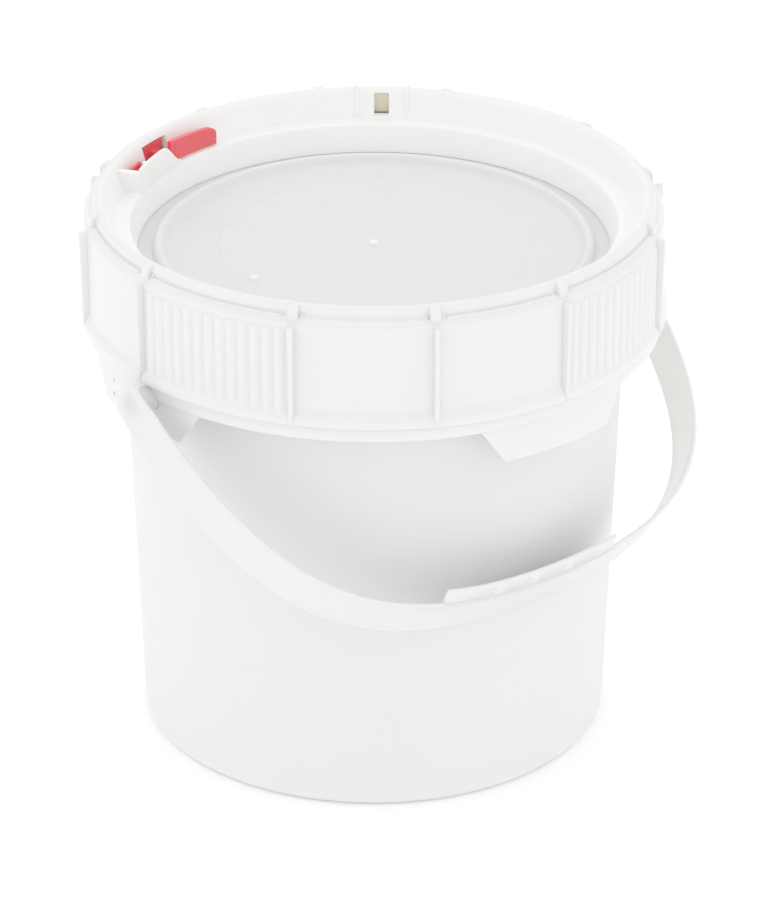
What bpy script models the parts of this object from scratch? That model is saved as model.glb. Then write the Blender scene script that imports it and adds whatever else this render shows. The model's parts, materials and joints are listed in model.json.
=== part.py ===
"""Screw-top plastic pail with a latched lid ring, modelled as six separate pieces.

The frame is the pail's own: origin at the centre of the underside, +Z up, and the bail
handle pivots about X. The lid is a flat disc held down by a threaded ring, and a small
latch sits in the ring's channel, with its pawl just clear of the teeth on the neck.
"""
import math

import bmesh
import bpy
from mathutils import Matrix, Vector

MM = 0.001

# Pail body
PAIL_BASE_RADIUS = 130.4 * MM
PAIL_TAPER = 0.0333
PAIL_WALL = 2.2 * MM
FLOOR_THICKNESS = 3.0 * MM
RIM_TOP = 287.4 * MM
COLLAR_RADIUS = 158.5 * MM
COLLAR_TOP = 244.2 * MM
COLLAR_BOTTOM = 236.4 * MM
SKIRT_BOTTOM = 216.5 * MM
SKIRT_CENTRES = (175.0, 269.0, 355.0, 89.0)
SKIRT_HALF_TOP = 19.3
SKIRT_HALF_BOTTOM = 13.2

# Screw thread: four starts, and one full turn lifts the ring by the lead
THREAD_LEAD = 48.0 * MM
THREAD_STARTS = 4
THREAD_THICKNESS = 3.0 * MM
PAIL_THREAD_START = 261.0 * MM
PAIL_THREAD_SPAN = 80.0
PAIL_THREAD_RADIUS = 147.0 * MM
RING_THREAD_RADIUS = 141.8 * MM
RING_THREAD_SPAN = 60.0
RING_THREAD_DROP = 4.2 * MM
TEETH_HEIGHT = 277.0 * MM
TEETH_DEPTH = 4.6 * MM

# Lid ring
RING_TOP = 311.4 * MM
RING_BOTTOM = 244.7 * MM
PANEL_RADIUS = 158.6 * MM
PANEL_TOP = 301.4 * MM
RING_BORE_RADIUS = 155.2 * MM
CHANNEL_FLOOR = 295.4 * MM
KNURL_START = -91.2
KNURL_SPAN = 35.0
KNURL_RIDGES = 13
KNURL_PITCH = 2.5
FIN_RADIUS = 163.2 * MM
FIN_WIDTH = 3.2 * MM
SLOT_ANGLE = 47.8

# Lid disc and gasket
DISC_FLOOR = 280.0 * MM
FLANGE_TOP = 292.0 * MM

# Latch, in the ring's channel
LATCH_PIVOT_ANGLE = 116.0
LATCH_PIVOT_RADIUS = 139.0 * MM
LATCH_BOTTOM = 296.2 * MM
LATCH_TOP = 304.4 * MM
TAB_TOP = 307.2 * MM
TAB_CENTRE = 97.7
TAB_HALF_ANGLE = 8.1
LATCH_PIN_RADIUS = 1.6 * MM
LATCH_HUB_RADIUS = 3.5 * MM

# Bail handle
PIVOT_HEIGHT = 235.6 * MM
BAIL_REST_TILT = 37.2
BAIL_HALF_SPAN = 170.4 * MM
BAIL_REACH = 181.5 * MM
BAIL_HALF_WIDTH = 14.0 * MM
BAIL_THICKNESS = 2.4 * MM
BAIL_END_HALF_WIDTH = 12.6 * MM
BAIL_END_LENGTH = 9.0 * MM
BAIL_TAPER_LENGTH = 20.0 * MM
BAIL_PIN_RADIUS = 4.0 * MM
EAR_BOSS_RADIUS = 7.0 * MM
GRIP_CENTRE = -17.5 * MM
GRIP_HALF_LENGTH = 58.5 * MM
GRIP_LIP_WIDTH = 11.0 * MM

LATHE_STEPS = 64


def remove_everything():
    for item in list(bpy.data.objects):
        bpy.data.objects.remove(item, do_unlink=True)


def new_collection(name):
    collection = bpy.data.collections.new(name)
    bpy.context.scene.collection.children.link(collection)
    return collection


def plastic(name, colour, roughness):
    material = bpy.data.materials.new(name)
    material.use_nodes = True
    shader = material.node_tree.nodes["Principled BSDF"]
    shader.inputs["Base Color"].default_value = (*colour, 1.0)
    shader.inputs["Roughness"].default_value = roughness
    shader.inputs["Metallic"].default_value = 0.0
    return material


def new_object(name, mesh, collection, material=None):
    item = bpy.data.objects.new(name, mesh)
    collection.objects.link(item)
    if material:
        mesh.materials.append(material)
    if collection is TOOLS:
        item.hide_render = True
        item.display_type = "WIRE"
    return item


def mesh_from(bm, name):
    bmesh.ops.recalc_face_normals(bm, faces=bm.faces)
    mesh = bpy.data.meshes.new(name)
    bm.to_mesh(mesh)
    bm.free()
    return mesh


def polar(radius, angle, height):
    turn = math.radians(angle)
    return Vector((radius * math.cos(turn), radius * math.sin(turn), height))


def turned_at(angle):
    return Matrix.Rotation(math.radians(angle), 4, "Z")


def lathe(name, profile, closed, collection, material=None):
    """Turn a profile of (radius, height) points about Z."""
    mesh = bpy.data.meshes.new(name)
    points = [(radius, 0.0, height) for radius, height in profile]
    edges = [(i, i + 1) for i in range(len(points) - 1)]
    if closed:
        edges.append((len(points) - 1, 0))
    mesh.from_pydata(points, edges, [])
    item = new_object(name, mesh, collection, material)
    screw = item.modifiers.new("turn", "SCREW")
    screw.axis = "Z"
    screw.angle = 2.0 * math.pi
    screw.steps = LATHE_STEPS
    screw.render_steps = LATHE_STEPS
    screw.use_merge_vertices = True
    screw.merge_threshold = 0.00005
    screw.use_smooth_shade = True
    return item


def union(item, tool, solver="EXACT"):
    boolean = item.modifiers.new(tool.name, "BOOLEAN")
    boolean.operation = "UNION"
    boolean.object = tool
    boolean.solver = solver


def cut(item, tool, solver="EXACT"):
    boolean = item.modifiers.new(tool.name, "BOOLEAN")
    boolean.operation = "DIFFERENCE"
    boolean.object = tool
    boolean.solver = solver


def add_box(bm, size, matrix):
    """Add a box of the given size and give back its corners, for shaping."""
    scale = Matrix.Diagonal((*size, 1.0))
    return bmesh.ops.create_cube(bm, size=1.0, matrix=matrix @ scale)["verts"]


def add_rod(bm, radius, length, matrix, sides=20):
    bmesh.ops.create_cone(
        bm, cap_ends=True, segments=sides, radius1=radius, radius2=radius, depth=length, matrix=matrix
    )


def helical_rib(name, inner, outer, start_angle, start_height, span):
    """A rib that climbs with the thread's lead, from a turned line made thick."""
    mesh = bpy.data.meshes.new(name)
    mesh.from_pydata([(inner, 0.0, 0.0), (outer, 0.0, 0.0)], [(0, 1)], [])
    rib = new_object(name, mesh, TOOLS)
    rib.location.z = start_height
    rib.rotation_euler.z = math.radians(start_angle)
    screw = rib.modifiers.new("climb", "SCREW")
    screw.axis = "Z"
    screw.angle = math.radians(span)
    screw.screw_offset = THREAD_LEAD * span / 360.0
    steps = int(span / 5.0)
    screw.steps = steps
    screw.render_steps = steps
    solidify = rib.modifiers.new("thicken", "SOLIDIFY")
    solidify.thickness = THREAD_THICKNESS
    solidify.offset = 0.0
    return rib


def bent_plate(name, centre, half_angle, radius, thickness, top, bottom, columns):
    """A plate on a cylinder. half_angle, top and bottom are functions of -1..1 across."""
    bm = bmesh.new()
    bmesh.ops.create_grid(bm, x_segments=columns, y_segments=1, size=1.0)
    for vert in bm.verts:
        across = vert.co.x
        raised = vert.co.y > 0.0
        height = top(across) if raised else bottom(across)
        vert.co = polar(radius, centre + across * half_angle(raised), height)
    mesh = mesh_from(bm, name)
    plate = new_object(name, mesh, TOOLS)
    solidify = plate.modifiers.new("thicken", "SOLIDIFY")
    solidify.thickness = thickness
    solidify.offset = 0.0
    return plate


def pail_radius(height):
    return PAIL_BASE_RADIUS + PAIL_TAPER * height


def pail_profile():
    inner = [
        (0.0, FLOOR_THICKNESS),
        (pail_radius(0.0) - PAIL_WALL - 5.0 * MM, FLOOR_THICKNESS),
        (pail_radius(0.0) - PAIL_WALL, FLOOR_THICKNESS + 5.0 * MM),
        (pail_radius(RIM_TOP) - PAIL_WALL, RIM_TOP - 1.0 * MM),
    ]
    rim = [
        (pail_radius(RIM_TOP) - PAIL_WALL + 0.8 * MM, RIM_TOP),
        (pail_radius(RIM_TOP) + 0.4 * MM, RIM_TOP),
        (pail_radius(RIM_TOP) + 0.8 * MM, RIM_TOP - 1.0 * MM),
        (pail_radius(RIM_TOP) + 0.8 * MM, RIM_TOP - 3.0 * MM),
        (pail_radius(RIM_TOP - 4.0 * MM), RIM_TOP - 4.0 * MM),
    ]
    web = 2.4 * MM
    collar = [
        (pail_radius(COLLAR_TOP), COLLAR_TOP),
        (COLLAR_RADIUS - 1.2 * MM, COLLAR_TOP),
        (COLLAR_RADIUS, COLLAR_TOP - 1.4 * MM),
        (COLLAR_RADIUS, COLLAR_BOTTOM + 1.2 * MM),
        (COLLAR_RADIUS - 0.8 * MM, COLLAR_BOTTOM),
        (COLLAR_RADIUS - 3.2 * MM, COLLAR_BOTTOM),
        (COLLAR_RADIUS - 3.4 * MM, COLLAR_TOP - web),
        (pail_radius(COLLAR_TOP - web), COLLAR_TOP - web),
    ]
    base = [
        (pail_radius(4.0 * MM), 4.0 * MM),
        (pail_radius(0.0) - 1.2 * MM, 1.1 * MM),
        (pail_radius(0.0) - 4.0 * MM, 0.0),
        (118.0 * MM, 0.0),
        (117.0 * MM, 1.0 * MM),
        (113.0 * MM, 1.0 * MM),
        (112.0 * MM, 0.0),
        (0.0, 0.0),
    ]
    return inner + rim + collar + base


def collar_skirt(number, centre):
    def half_angle(raised):
        return SKIRT_HALF_TOP if raised else SKIRT_HALF_BOTTOM

    return bent_plate(
        f"skirt_{number}",
        centre,
        half_angle,
        COLLAR_RADIUS - 2.1 * MM,
        1.6 * MM,
        lambda across: COLLAR_BOTTOM + 3.0 * MM,
        lambda across: SKIRT_BOTTOM,
        10,
    )


def ear_boss(side):
    """A hollow boss on each side, which takes the handle's pin."""
    inner = pail_radius(PIVOT_HEIGHT) - 1.2 * MM
    outer = BAIL_HALF_SPAN - BAIL_THICKNESS / 2.0 - 0.6 * MM
    across_x = Matrix.Rotation(math.pi / 2.0, 4, "Y")
    bm = bmesh.new()
    centre = Vector((side * (inner + outer) / 2.0, 0.0, PIVOT_HEIGHT))
    add_rod(bm, EAR_BOSS_RADIUS, outer - inner, Matrix.Translation(centre) @ across_x)
    boss = new_object(f"ear_boss_{side}", mesh_from(bm, "ear_boss"), TOOLS)
    bm = bmesh.new()
    depth = 18.0 * MM
    centre = Vector((side * (outer + 1.0 * MM - depth / 2.0), 0.0, PIVOT_HEIGHT))
    add_rod(bm, BAIL_PIN_RADIUS + 0.4 * MM, depth, Matrix.Translation(centre) @ across_x)
    bore = new_object(f"ear_bore_{side}", mesh_from(bm, "ear_bore"), TOOLS)
    return boss, bore


def ratchet_teeth():
    """Short teeth on the neck, at the latch's pawl and between the ring lugs' paths."""
    bm = bmesh.new()
    for step in range(7):
        angle = LATCH_PIVOT_ANGLE - 18.0 + 3.0 * step
        root = pail_radius(RIM_TOP) - 1.2 * MM
        tip = 145.6 * MM
        place = turned_at(angle) @ Matrix.Translation(((root + tip) / 2.0, 0.0, TEETH_HEIGHT))
        corners = add_box(bm, (tip - root, 4.0 * MM, TEETH_DEPTH), place)
        ahead = place.to_3x3() @ Vector((0.0, 1.0, 0.0))
        for corner in corners:
            offset = corner.co - place.translation
            is_tip = corner.co.xy.length > (root + tip) / 2.0
            if is_tip and offset.dot(ahead) > 0.0:
                corner.co -= ahead * 3.0 * MM
    return new_object("ratchet_teeth", mesh_from(bm, "ratchet_teeth"), TOOLS)


def make_pail_body(material):
    body = lathe("pail_body", pail_profile(), False, PARTS, material)
    for number, centre in enumerate(SKIRT_CENTRES):
        union(body, collar_skirt(number, centre), "MANIFOLD")
    for start in range(THREAD_STARTS):
        rib = helical_rib(
            f"pail_thread_{start}",
            138.5 * MM,
            PAIL_THREAD_RADIUS,
            start * 360.0 / THREAD_STARTS,
            PAIL_THREAD_START,
            PAIL_THREAD_SPAN,
        )
        union(body, rib, "MANIFOLD")
    for side in (-1, 1):
        boss, bore = ear_boss(side)
        union(body, boss, "MANIFOLD")
        cut(body, bore, "MANIFOLD")
    union(body, ratchet_teeth(), "MANIFOLD")
    return body


def ring_profile():
    lip = [
        (147.4 * MM, 308.4 * MM),
        (148.8 * MM, 310.9 * MM),
        (150.4 * MM, RING_TOP),
        (152.4 * MM, 311.1 * MM),
        (153.8 * MM, 309.4 * MM),
        (153.9 * MM, 305.6 * MM),
        (156.4 * MM, 304.6 * MM),
        (156.8 * MM, 303.2 * MM),
        (PANEL_RADIUS, PANEL_TOP),
    ]
    band = [
        (PANEL_RADIUS, 253.0 * MM),
        (161.4 * MM, 248.4 * MM),
        (161.4 * MM, RING_BOTTOM),
        (RING_BORE_RADIUS, RING_BOTTOM),
    ]
    hollow = [
        (RING_BORE_RADIUS, 299.4 * MM),
        (152.2 * MM, 303.6 * MM),
        (149.6 * MM, 303.6 * MM),
        (146.2 * MM, 292.6 * MM),
    ]
    inner_wall = [
        (136.0 * MM, 292.6 * MM),
        (132.2 * MM, 281.0 * MM),
        (129.9 * MM, 281.0 * MM),
        (133.5 * MM, CHANNEL_FLOOR - 0.6 * MM),
        (134.4 * MM, CHANNEL_FLOOR),
        (143.0 * MM, CHANNEL_FLOOR),
    ]
    return lip + band + hollow + inner_wall


def fin_angles():
    """Each quarter has a fin at both ends of its knurl and one halfway to the next."""
    angles = []
    for quarter in range(4):
        start = KNURL_START + 90.0 * quarter
        halfway = KNURL_SPAN + (90.0 - KNURL_SPAN) / 2.0
        angles += [start, start + KNURL_SPAN, start + halfway]
    return angles


def ring_fins():
    bm = bmesh.new()
    root = PANEL_RADIUS - 1.4 * MM
    low = RING_BOTTOM + 0.6 * MM
    high = PANEL_TOP + 0.2 * MM
    for angle in fin_angles():
        size = (FIN_RADIUS - root, FIN_WIDTH, high - low)
        place = turned_at(angle) @ Matrix.Translation(((FIN_RADIUS + root) / 2.0, 0.0, (high + low) / 2.0))
        for corner in add_box(bm, size, place):
            is_tip = corner.co.xy.length > (FIN_RADIUS + root) / 2.0
            if is_tip and corner.co.z < (high + low) / 2.0:
                corner.co.xy *= (FIN_RADIUS - 1.2 * MM) / FIN_RADIUS
    return new_object("ring_fins", mesh_from(bm, "ring_fins"), TOOLS)


def ring_blocks():
    """Small blocks that join each fin to the lip, across the step and up to the lip's top."""
    bm = bmesh.new()
    for angle in fin_angles():
        place = turned_at(angle) @ Matrix.Translation((154.4 * MM, 0.0, 305.6 * MM))
        for corner in add_box(bm, (5.2 * MM, 6.0 * MM, 10.8 * MM), place):
            if corner.co.z > 305.6 * MM and corner.co.xy.length > 154.8 * MM:
                corner.co.z -= 1.6 * MM
    return new_object("ring_blocks", mesh_from(bm, "ring_blocks"), TOOLS)


def ring_knurl():
    bm = bmesh.new()
    length = 44.0 * MM
    middle = 277.0 * MM
    for quarter in range(4):
        centre = KNURL_START + KNURL_SPAN / 2.0 + 90.0 * quarter
        for ridge in range(KNURL_RIDGES):
            angle = centre + (ridge - (KNURL_RIDGES - 1) / 2.0) * KNURL_PITCH
            place = turned_at(angle) @ Matrix.Translation((PANEL_RADIUS, 0.0, middle))
            oval = Matrix.Diagonal((1.4 * MM, 2.3 * MM, 1.0, 1.0))
            add_rod(bm, 1.0, length, place @ oval, sides=6)
    return new_object("ring_knurl", mesh_from(bm, "ring_knurl"), TOOLS)


def latch_pocket():
    """The pocket's end block, from the shield to the lip, and the pin that the latch turns on."""
    bm = bmesh.new()
    end = turned_at(LATCH_PIVOT_ANGLE + 8.0) @ Matrix.Translation((140.6 * MM, 0.0, 301.0 * MM))
    for corner in add_box(bm, (13.6 * MM, 4.4 * MM, 12.6 * MM), end):
        if corner.co.z < 301.0 * MM and corner.co.xy.length > 141.0 * MM:
            corner.co.xy *= 144.6 / 147.4
    low = CHANNEL_FLOOR - 1.0 * MM
    high = LATCH_TOP + 0.6 * MM
    pin = Matrix.Translation(polar(LATCH_PIVOT_RADIUS, LATCH_PIVOT_ANGLE, (low + high) / 2.0))
    add_rod(bm, LATCH_PIN_RADIUS, high - low, pin, sides=12)
    return new_object("latch_pocket", mesh_from(bm, "latch_pocket"), TOOLS)


def latch_shield():
    """The wall on the channel's inner edge, in front of the pin: steep by the tab, then level."""

    def top(across):
        rise = min(1.5 * (across + 1.0), 1.0)
        return CHANNEL_FLOOR + 1.9 * MM + 11.8 * MM * rise * rise * (3.0 - 2.0 * rise)

    return bent_plate(
        "latch_shield",
        LATCH_PIVOT_ANGLE - 2.1,
        lambda raised: 10.3,
        134.0 * MM,
        1.6 * MM,
        top,
        lambda across: CHANNEL_FLOOR - 6.0 * MM,
        18,
    )


def window(name, angle, half_angle, low, high, inner, outer):
    """A cutter for an opening in the ring's inner wall."""
    bm = bmesh.new()
    middle = (inner + outer) / 2.0
    width = 2.0 * middle * math.tan(math.radians(half_angle))
    place = turned_at(angle) @ Matrix.Translation((middle, 0.0, (low + high) / 2.0))
    add_box(bm, (outer - inner, width, high - low), place)
    return new_object(name, mesh_from(bm, name), TOOLS)


def make_screw_ring(material):
    ring = lathe("screw_ring", ring_profile(), True, PARTS, material)
    union(ring, ring_fins())
    union(ring, ring_blocks())
    union(ring, ring_knurl())
    for start in range(THREAD_STARTS):
        rib = helical_rib(
            f"ring_thread_{start}",
            RING_THREAD_RADIUS,
            RING_BORE_RADIUS + 1.2 * MM,
            start * 360.0 / THREAD_STARTS + 10.0,
            PAIL_THREAD_START + THREAD_LEAD * 10.0 / 360.0 - RING_THREAD_DROP,
            RING_THREAD_SPAN,
        )
        union(ring, rib)
    cut(ring, window("latch_window", 107.0, 4.4, 296.4 * MM, 307.6 * MM, 141.0 * MM, 151.4 * MM))
    cut(ring, window("key_window", SLOT_ANGLE, 1.65, 298.2 * MM, 307.4 * MM, 141.0 * MM, 150.6 * MM))
    union(ring, latch_pocket())
    union(ring, latch_shield())
    return ring


def make_lid_disc(material):
    profile = [
        (0.0, DISC_FLOOR),
        (112.8 * MM, DISC_FLOOR),
        (114.6 * MM, 281.4 * MM),
        (116.6 * MM, 283.9 * MM),
        (119.2 * MM, 284.0 * MM),
        (120.9 * MM, 282.0 * MM),
        (121.6 * MM, 279.6 * MM),
        (132.6 * MM, 279.4 * MM),
        (133.6 * MM, 280.6 * MM),
        (136.9 * MM, 290.8 * MM),
        (137.6 * MM, FLANGE_TOP),
        (143.6 * MM, FLANGE_TOP),
        (143.6 * MM, FLANGE_TOP - 1.8 * MM),
        (137.9 * MM, FLANGE_TOP - 1.8 * MM),
        (136.4 * MM, 286.0 * MM),
        (134.8 * MM, 277.2 * MM),
        (119.8 * MM, 277.6 * MM),
        (118.6 * MM, 281.6 * MM),
        (117.2 * MM, 281.6 * MM),
        (114.4 * MM, 277.9 * MM),
        (0.0, 277.9 * MM),
    ]
    return lathe("lid_disc", profile, False, PARTS, material)


def make_lid_gasket(material):
    profile = [
        (138.3 * MM, 289.9 * MM),
        (142.6 * MM, 289.9 * MM),
        (142.6 * MM, 288.2 * MM),
        (140.6 * MM, 287.8 * MM),
        (138.3 * MM, 287.8 * MM),
    ]
    return lathe("lid_gasket", profile, True, PARTS, material)


def make_child_latch(material):
    """A lever in the channel: finger tab, hub on the pin, short tail, pawl through the window."""
    height = LATCH_TOP - LATCH_BOTTOM
    middle = (LATCH_TOP + LATCH_BOTTOM) / 2.0

    def flat(level):
        return lambda across: level

    tab = bent_plate(
        "child_latch",
        TAB_CENTRE,
        lambda raised: TAB_HALF_ANGLE,
        137.6 * MM,
        3.4 * MM,
        flat(TAB_TOP),
        flat(LATCH_BOTTOM),
        8,
    )
    lever = bent_plate(
        "latch_lever",
        109.6,
        lambda raised: 5.4,
        138.6 * MM,
        2.4 * MM,
        flat(LATCH_TOP - 1.0 * MM),
        flat(LATCH_BOTTOM + 0.4 * MM),
        5,
    )
    TOOLS.objects.unlink(tab)
    PARTS.objects.link(tab)
    tab.hide_render = False
    tab.display_type = "TEXTURED"
    tab.data.materials.append(material)
    union(tab, lever)

    bm = bmesh.new()
    hub = Matrix.Translation(polar(LATCH_PIVOT_RADIUS, LATCH_PIVOT_ANGLE, middle))
    add_rod(bm, LATCH_HUB_RADIUS, height - 1.0 * MM, hub, sides=20)
    union(tab, new_object("latch_hub", mesh_from(bm, "latch_hub"), TOOLS))

    bm = bmesh.new()
    tail = turned_at(LATCH_PIVOT_ANGLE + 2.4) @ Matrix.Translation((142.1 * MM, 0.0, 301.5 * MM))
    add_box(bm, (2.0 * MM, 11.6 * MM, 5.6 * MM), tail)
    union(tab, new_object("latch_tail", mesh_from(bm, "latch_tail"), TOOLS))

    bm = bmesh.new()
    arm = turned_at(107.2) @ Matrix.Translation((144.4 * MM, 0.0, 300.4 * MM))
    add_box(bm, (11.0 * MM, 5.6 * MM, 5.0 * MM), arm)
    union(tab, new_object("latch_arm", mesh_from(bm, "latch_arm"), TOOLS))

    bm = bmesh.new()
    plate = turned_at(107.2) @ Matrix.Translation((149.5 * MM, 0.0, 298.7 * MM))
    add_box(bm, (2.0 * MM, 15.0 * MM, 6.6 * MM), plate)
    union(tab, new_object("latch_plate", mesh_from(bm, "latch_plate"), TOOLS))

    bm = bmesh.new()
    pawl = turned_at(107.2) @ Matrix.Translation((149.4 * MM, 0.0, 288.6 * MM))
    for corner in add_box(bm, (2.4 * MM, 4.6 * MM, 28.0 * MM), pawl):
        if corner.co.z < 290.0 * MM:
            corner.co.xy *= 147.6 / 149.4
    union(tab, new_object("latch_pawl", mesh_from(bm, "latch_pawl"), TOOLS))

    bm = bmesh.new()
    add_rod(bm, LATCH_PIN_RADIUS + 0.35 * MM, height * 2.0, hub, sides=12)
    cut(tab, new_object("latch_bore", mesh_from(bm, "latch_bore"), TOOLS))
    return tab


def bail_stations():
    """Places and handles of the strap's centre line, in the plane of X and its reach."""
    lean = 8.0 * MM
    straight = 25.0 * MM
    middle_pull = 121.0 * MM
    side_pull = 113.0 * MM
    end = -BAIL_END_LENGTH + 0.3 * MM
    return [
        ((-BAIL_HALF_SPAN, end), (0.0, 8.0 * MM), (0.0, 8.0 * MM)),
        ((-BAIL_HALF_SPAN, straight), (0.0, 8.0 * MM), (lean, side_pull)),
        ((0.0, BAIL_REACH), (middle_pull, 0.0), (middle_pull, 0.0)),
        ((BAIL_HALF_SPAN, straight), (lean, -side_pull), (0.0, -8.0 * MM)),
        ((BAIL_HALF_SPAN, end), (0.0, -8.0 * MM), (0.0, -8.0 * MM)),
    ]


def bail_half_width(reach):
    """The strap has a squarish round end at its pivot and reaches its full width below it."""
    if reach < 0.0:
        return BAIL_END_HALF_WIDTH * (1.0 - min(-reach / BAIL_END_LENGTH, 1.0) ** 3) ** (1.0 / 3.0)
    widening = min(reach / BAIL_TAPER_LENGTH, 1.0)
    return BAIL_END_HALF_WIDTH + (BAIL_HALF_WIDTH - BAIL_END_HALF_WIDTH) * widening


def bail_strap(material):
    """A flat ribbon along the centre line, made thick."""
    curve = bpy.data.curves.new("bail_path", "CURVE")
    curve.dimensions = "3D"
    curve.resolution_u = 12
    curve.extrude = BAIL_HALF_WIDTH
    spline = curve.splines.new("BEZIER")
    stations = bail_stations()
    spline.bezier_points.add(len(stations) - 1)
    for point, (place, before, after) in zip(spline.bezier_points, stations):
        point.co = (place[0], place[1], 0.0)
        point.handle_left_type = "FREE"
        point.handle_right_type = "FREE"
        point.handle_left = (place[0] - before[0], place[1] - before[1], 0.0)
        point.handle_right = (place[0] + after[0], place[1] + after[1], 0.0)
    path = bpy.data.objects.new("bail_path", curve)
    TOOLS.objects.link(path)
    evaluated = path.evaluated_get(bpy.context.evaluated_depsgraph_get())
    mesh = bpy.data.meshes.new_from_object(evaluated)
    bpy.data.objects.remove(path, do_unlink=True)
    for vertex in mesh.vertices:
        vertex.co.z *= bail_half_width(vertex.co.y) / BAIL_HALF_WIDTH
    strap = new_object("bail_handle", mesh, PARTS, material)
    solidify = strap.modifiers.new("thicken", "SOLIDIFY")
    solidify.thickness = BAIL_THICKNESS
    solidify.offset = 0.0
    return strap


def strap_drop(x):
    """How far the centre line falls short of its full reach, near the strap's middle."""
    return 1.18 * x**2 + 53.0 * x**4


def grip_lip():
    """The lip that widens the grip, on the strap's upper edge and leaning inwards."""
    bm = bmesh.new()
    bmesh.ops.create_grid(bm, x_segments=10, y_segments=1, size=1.0)
    upper_edge = -BAIL_HALF_WIDTH + 1.6 * MM
    for vert in bm.verts:
        x = GRIP_CENTRE + vert.co.x * GRIP_HALF_LENGTH
        raised = vert.co.y > 0.0
        reach = BAIL_REACH - strap_drop(x) - (2.6 * MM if raised else 0.2 * MM)
        level = upper_edge - (GRIP_LIP_WIDTH if raised else 0.0)
        vert.co = (x, reach, level)
    lip = new_object("grip_lip", mesh_from(bm, "grip_lip"), TOOLS)
    solidify = lip.modifiers.new("thicken", "SOLIDIFY")
    solidify.thickness = 2.0 * MM
    solidify.offset = 0.0
    return lip


def make_bail_handle(material):
    strap = bail_strap(material)
    lip = grip_lip()
    for item in (strap, lip):
        item.location.z = PIVOT_HEIGHT
        item.rotation_euler.x = math.pi + math.radians(BAIL_REST_TILT)
    union(strap, lip)

    bm = bmesh.new()
    inner = BAIL_HALF_SPAN - 15.0 * MM
    outer = BAIL_HALF_SPAN + 0.4 * MM
    across_x = Matrix.Rotation(math.pi / 2.0, 4, "Y")
    for side in (-1, 1):
        centre = Vector((side * (inner + outer) / 2.0, 0.0, PIVOT_HEIGHT))
        add_rod(bm, BAIL_PIN_RADIUS, outer - inner, Matrix.Translation(centre) @ across_x)
    union(strap, new_object("bail_pins", mesh_from(bm, "bail_pins"), TOOLS))
    return strap


remove_everything()
PARTS = new_collection("screw_top_pail")
TOOLS = new_collection("cutters")

WHITE = plastic("white_plastic", (0.86, 0.87, 0.87), 0.38)
RING_WHITE = plastic("ring_plastic", (0.88, 0.89, 0.89), 0.32)
DISC_WHITE = plastic("disc_plastic", (0.82, 0.83, 0.83), 0.4)
RUBBER = plastic("gasket_rubber", (0.35, 0.36, 0.37), 0.7)
CORAL = plastic("latch_plastic", (0.80, 0.10, 0.12), 0.35)
CLEAR_WHITE = plastic("handle_plastic", (0.84, 0.86, 0.85), 0.35)

make_pail_body(WHITE)
make_screw_ring(RING_WHITE)
make_lid_disc(DISC_WHITE)
make_lid_gasket(RUBBER)
make_child_latch(CORAL)
make_bail_handle(CLEAR_WHITE)
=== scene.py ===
"""Looks of the screw-top pail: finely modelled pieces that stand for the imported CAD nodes.

The pieces' lengths are in millimetres until a mesh is made, and the camera's and lights' are in metres.
Every piece sits in the CAD's own frame.
"""

import json
import math

import bmesh
import bpy
from mathutils import Matrix, Vector


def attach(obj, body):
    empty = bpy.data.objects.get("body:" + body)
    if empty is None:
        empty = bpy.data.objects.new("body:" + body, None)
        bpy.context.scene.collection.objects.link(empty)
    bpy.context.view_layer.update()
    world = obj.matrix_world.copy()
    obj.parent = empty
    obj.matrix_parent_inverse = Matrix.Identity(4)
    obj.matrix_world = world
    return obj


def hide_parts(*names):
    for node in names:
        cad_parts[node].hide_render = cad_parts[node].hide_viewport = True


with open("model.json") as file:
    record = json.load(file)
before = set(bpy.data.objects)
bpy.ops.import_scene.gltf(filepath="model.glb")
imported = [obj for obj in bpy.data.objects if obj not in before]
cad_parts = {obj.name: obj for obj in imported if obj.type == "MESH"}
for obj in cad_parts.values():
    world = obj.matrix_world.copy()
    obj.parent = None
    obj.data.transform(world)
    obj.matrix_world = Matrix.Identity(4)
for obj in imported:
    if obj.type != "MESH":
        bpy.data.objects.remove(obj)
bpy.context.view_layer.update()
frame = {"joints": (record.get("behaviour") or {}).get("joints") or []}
JOINTS = {joint["name"]: joint for joint in frame["joints"]}
MM = 0.001
ALONG_X = Matrix.Rotation(math.pi / 2.0, 4, "Y")

# Pail
PAIL_BASE_RADIUS = 130.4
PAIL_TAPER = 0.0333
PAIL_WALL = 2.2
RIM_TOP = 287.4
COLLAR_RADIUS = 158.5
COLLAR_TOP = 244.2
COLLAR_BOTTOM = 236.4
SKIRT_RADIUS = COLLAR_RADIUS - 2.1
SKIRT_BOTTOM = 216.5
SKIRT_HOLE_ANGLE = 166.2
SKIRT_HOLE_HEIGHTS = (230.7, 223.1)
SKIRT_CENTRES = (175.0, 269.0, 355.0, 89.0)
SKIRT_HALF_TOP = 19.3
SKIRT_HALF_BOTTOM = 13.2

# Thread
THREAD_LEAD = 48.0
PAIL_THREAD_START = 261.0
PAIL_THREAD_SPAN = 80.0
RING_THREAD_SPAN = 60.0
RING_THREAD_START = 258.13
THREAD_WIDTH = 3.0

# Lid ring
PANEL_RADIUS = 158.6
PANEL_TOP = 301.4
RING_BOTTOM = 244.7
CHANNEL_FLOOR = 295.4
KNURL_START = -91.2
KNURL_SPAN = 35.0
KNURL_RIDGES = 13
KNURL_PITCH = 2.5
KNURL_HEIGHT = 1.5
KNURL_TOP = 299.6
FIN_RADIUS = 163.2
LATCH_WINDOW_ANGLE = 107.0
SLOT_ANGLE = 47.8

# Lid disc
DISC_FLOOR = 280.0
DISC_STEP_RADII = (33.0, 53.0, 84.0)
DISC_STEP = 0.4

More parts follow.
